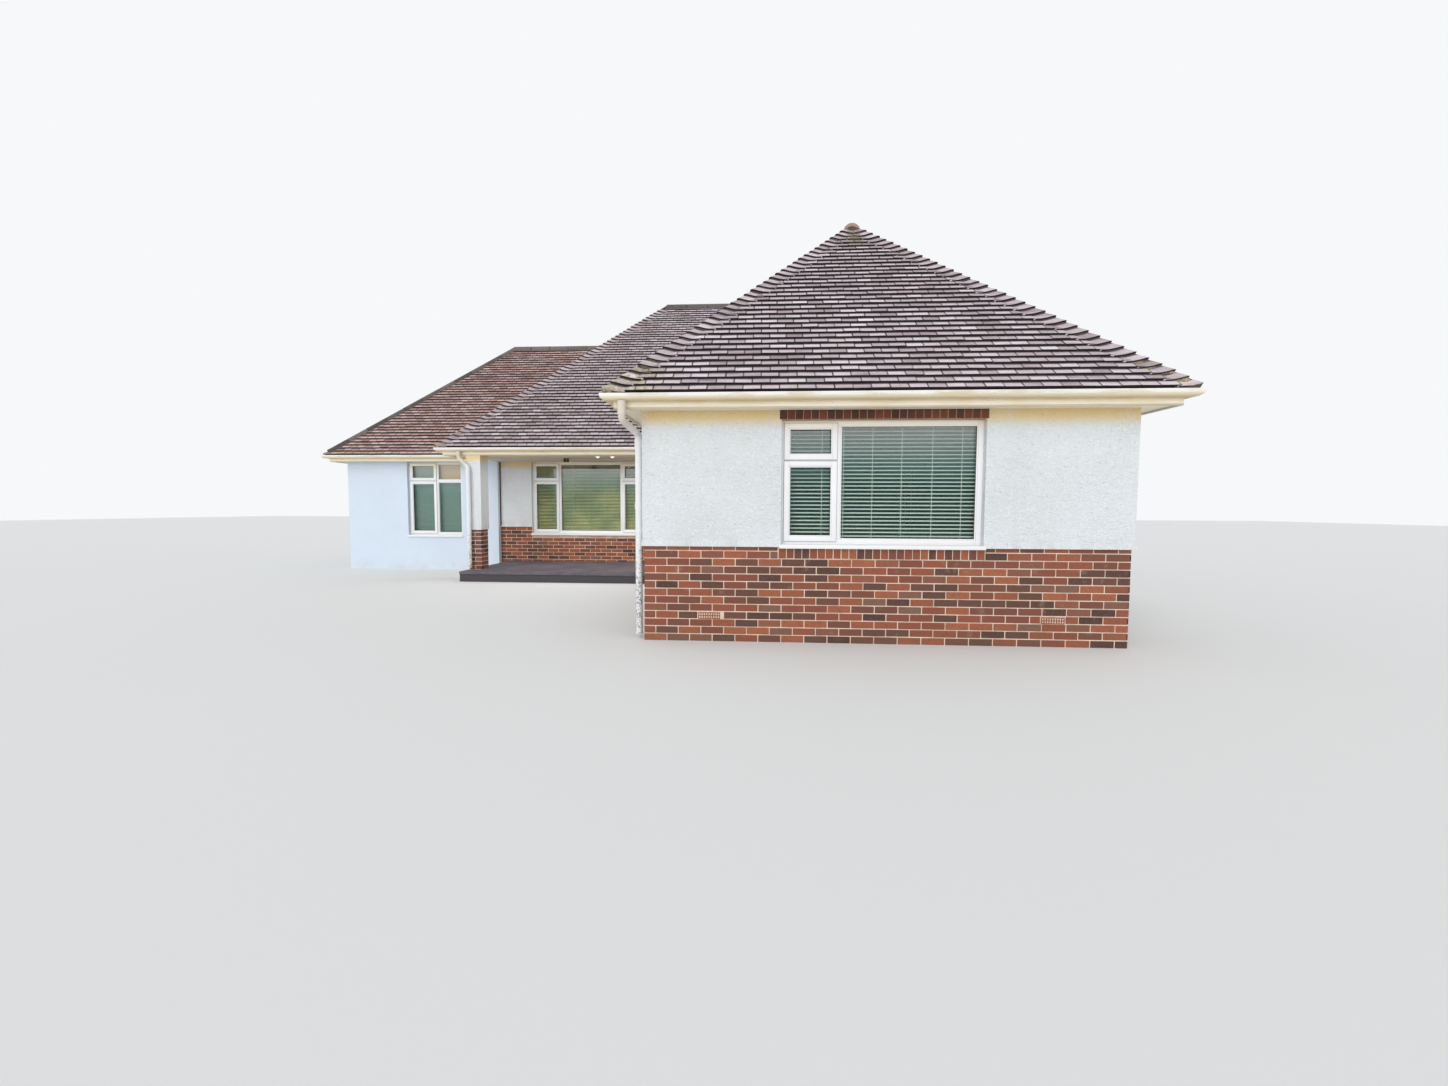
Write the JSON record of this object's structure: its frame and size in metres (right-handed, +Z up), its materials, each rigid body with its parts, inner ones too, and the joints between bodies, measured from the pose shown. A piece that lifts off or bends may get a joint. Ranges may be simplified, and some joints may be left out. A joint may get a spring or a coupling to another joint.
{
  "type": "hipped bungalow",
  "caption": "Single-storey hipped bungalow with a projecting front wing, a recessed porch on a pier, a lower side extension, brick plinths, casement windows and boxed eaves.",
  "frame": {"origin": "centre of the outline over the gutters, at ground level", "axes": "+X to the right along the front, +Y from the front to the back, +Z up"},
  "size_m": [12.856, 11.966, 6.0012],
  "materials": {
    "roughcast": "rough off-white pebble render",
    "smooth_render": "smooth white render",
    "brick": "matte red facing brick",
    "roof_tiles": "matte weathered plain tile",
    "extension_tiles": "matte red-brown plain tile",
    "hip_tiles": "matte dark grey with moss",
    "window_plastic": "satin white",
    "window_glass": "clear sealed units",
    "blind": "matte white slats",
    "painted_board": "cream-white paint",
    "paving": "grey-purple riven concrete",
    "floor_concrete": "smooth concrete",
    "gutter_plastic": "white, slightly weathered"
  },
  "bodies": {
    "root": {"wing_front_wall": "roughcast", "wing_left_wall": "roughcast", "right_wall": "roughcast", "rear_wall": "roughcast", "porch_wall": "roughcast", "extension_wall": "smooth_render", "house_plinth": "brick", "porch_plinth": "brick", "window_header_course": "brick", "wing_roof_front": "roof_tiles", "wing_roof_left": "roof_tiles", "right_roof": "roof_tiles", "main_roof_front": "roof_tiles", "main_roof_left": "roof_tiles", "rear_roof": "roof_tiles", "extension_roof_front": "extension_tiles", "extension_roof_left": "extension_tiles", "wing_hip_tiles": "hip_tiles", "main_hip_tiles": "hip_tiles", "extension_hip_tiles": "hip_tiles", "front_window_frame": "window_plastic", "front_window_glass": "window_glass", "porch_window_frame": "window_plastic", "porch_window_glass": "window_glass", "extension_window_frame": "window_plastic", "extension_window_glass": "window_glass", "window_blinds": "blind", "back_window_frames": "window_plastic", "back_window_glass": "window_glass", "front_door_frame": "window_plastic", "front_door": "window_plastic", "porch_pier": "roughcast", "porch_beam": "roughcast", "porch_ceiling": "painted_board", "porch_floor": "paving", "ground_floor": "floor_concrete", "house_eaves": "painted_board", "porch_eaves": "painted_board", "extension_eaves": "painted_board", "house_gutter": "gutter_plastic", "porch_gutter": "gutter_plastic", "extension_gutter": "gutter_plastic", "wing_downpipe": "gutter_plastic", "porch_downpipe": "gutter_plastic", "rear_downpipe": "gutter_plastic"}
  },
  "joints": []
}
